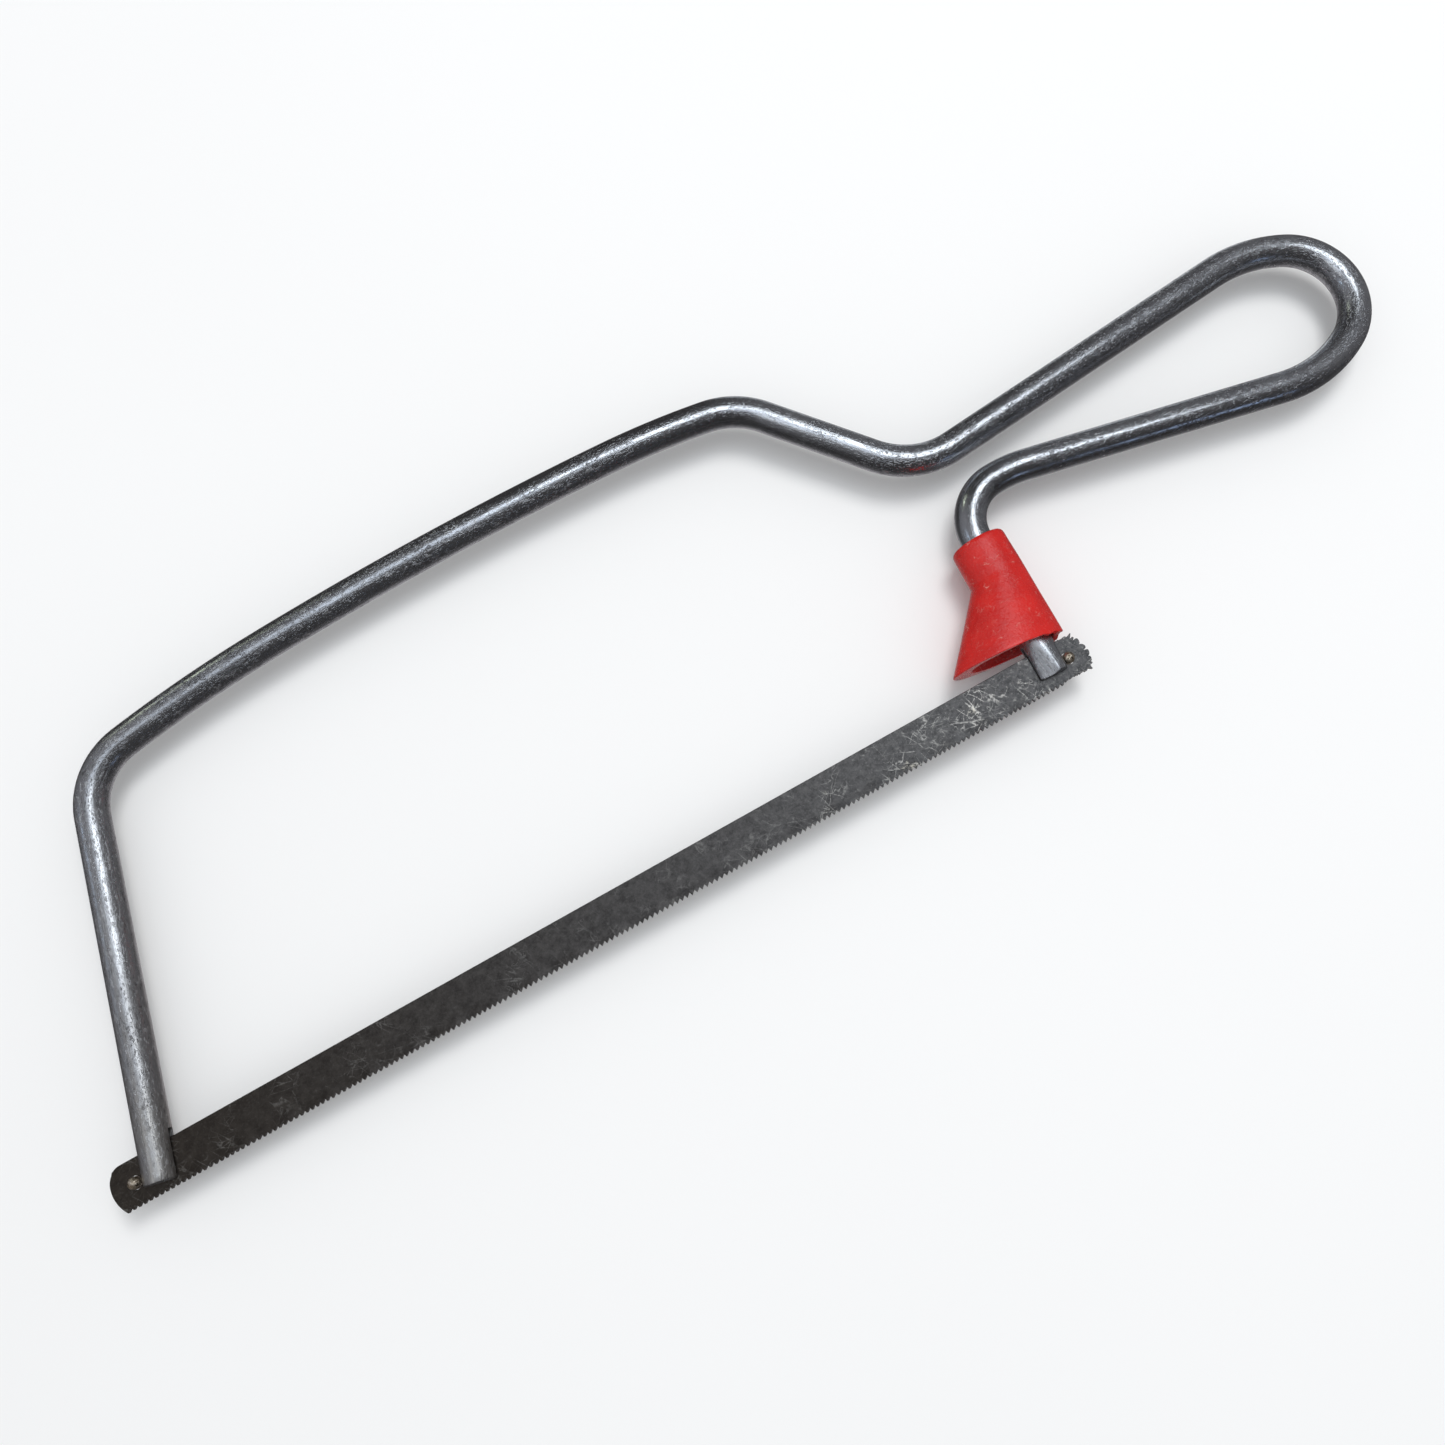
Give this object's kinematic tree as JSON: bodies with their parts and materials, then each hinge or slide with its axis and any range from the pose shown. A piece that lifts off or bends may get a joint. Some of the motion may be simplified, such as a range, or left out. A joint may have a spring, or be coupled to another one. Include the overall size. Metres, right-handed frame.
{
  "type": "junior hacksaw",
  "caption": "Junior hacksaw: a bow and loop handle bent from one plated rod, a pinned fine-tooth blade hooked over its slotted legs, and a red finger guard.",
  "frame": {"origin": "bottom centre of the overall box, with the saw lying on its side", "axes": "+X along the blade towards the handle, +Y from the teeth towards the arch, +Z out of the saw's plane"},
  "size_m": [0.223, 0.0664, 0.011],
  "materials": {
    "plated_rod": "bright plating over drawn rod, finely pitted and scuffed",
    "blade_steel": "blackened, rubbed grey and scratched towards the handle",
    "pin_steel": "dull, brassy where it is rubbed",
    "red_plastic": "satin moulded plastic, lightly scuffed"
  },
  "bodies": {
    "rear_bow": {"bow_rear": "plated_rod"},
    "front_bow": {"bow_front": "plated_rod"},
    "blade_unit": {"blade": "blade_steel", "front_pin": "pin_steel", "rear_pin": "pin_steel"},
    "guard": {"finger_guard": "red_plastic"}
  },
  "joints": [
    {"name": "bow_flex", "type": "hinge", "parent": "rear_bow", "child": "front_bow", "pos_m": [-0.03306, 0.0307, 0.0055], "axis": [0, 0, 1], "range_deg": [0, 6], "stiffness_Nm_per_rad": 26},
    {"name": "blade_swing", "type": "hinge", "parent": "rear_bow", "child": "blade_unit", "pos_m": [0.03916, -0.03009, 0.0055], "axis": [0, 0, 1], "range_deg": [0, 12.5]},
    {"name": "guard_swivel", "type": "hinge", "parent": "rear_bow", "child": "guard", "pos_m": [0.0362, -0.03123, 0.0055], "axis": [0.0471, 0.9989, 0], "continuous": true}
  ],
  "couplings": [
    {"joint": "blade_swing", "follows": "bow_flex", "ratio": 2}
  ]
}
